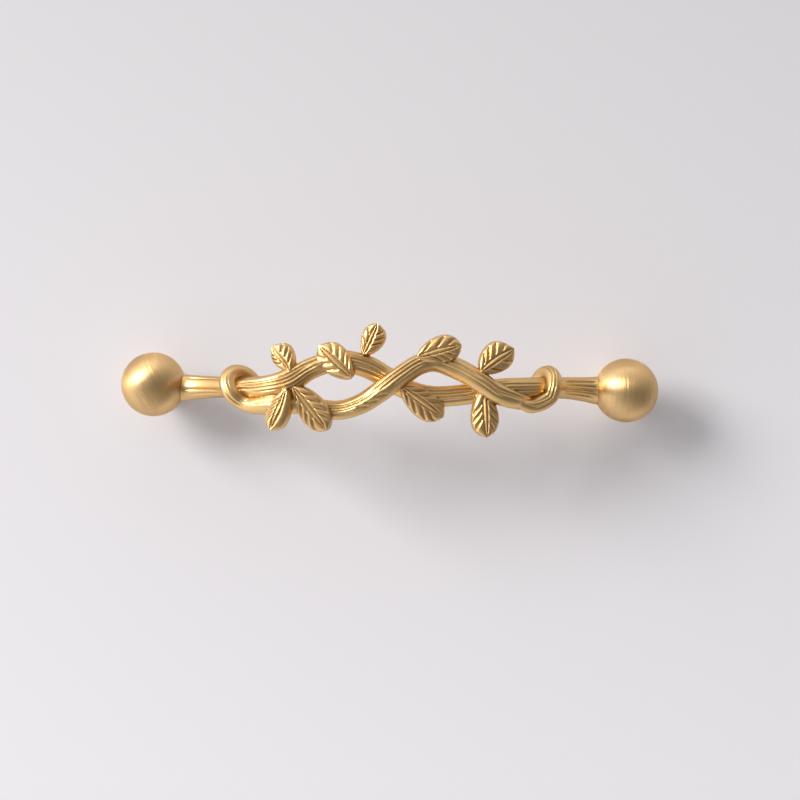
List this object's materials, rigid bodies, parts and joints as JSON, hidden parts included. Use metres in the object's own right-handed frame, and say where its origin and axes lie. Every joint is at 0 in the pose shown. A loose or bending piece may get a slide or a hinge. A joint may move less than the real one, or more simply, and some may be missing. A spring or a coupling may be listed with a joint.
{
  "type": "cabinet handle",
  "caption": "Bowed brass cabinet pull: two entwined twigs with veined leaves, looped round flared necks between turned ball posts.",
  "frame": {"origin": "midway between the two fixing screws, on the face that meets the drawer front", "axes": "+X along the handle from the left to the right ball, +Z out of the drawer front, +Y up the picture"},
  "size_m": [0.1452, 0.0292, 0.0398],
  "materials": {
    "cast_brass": "satin, rubbed by hand, darker in the carved lines",
    "turned_brass": "satin, fine brush lines"
  },
  "bodies": {
    "root": {"vine_bar": "cast_brass", "ball_post_left": "turned_brass", "ball_post_right": "turned_brass"}
  },
  "joints": []
}
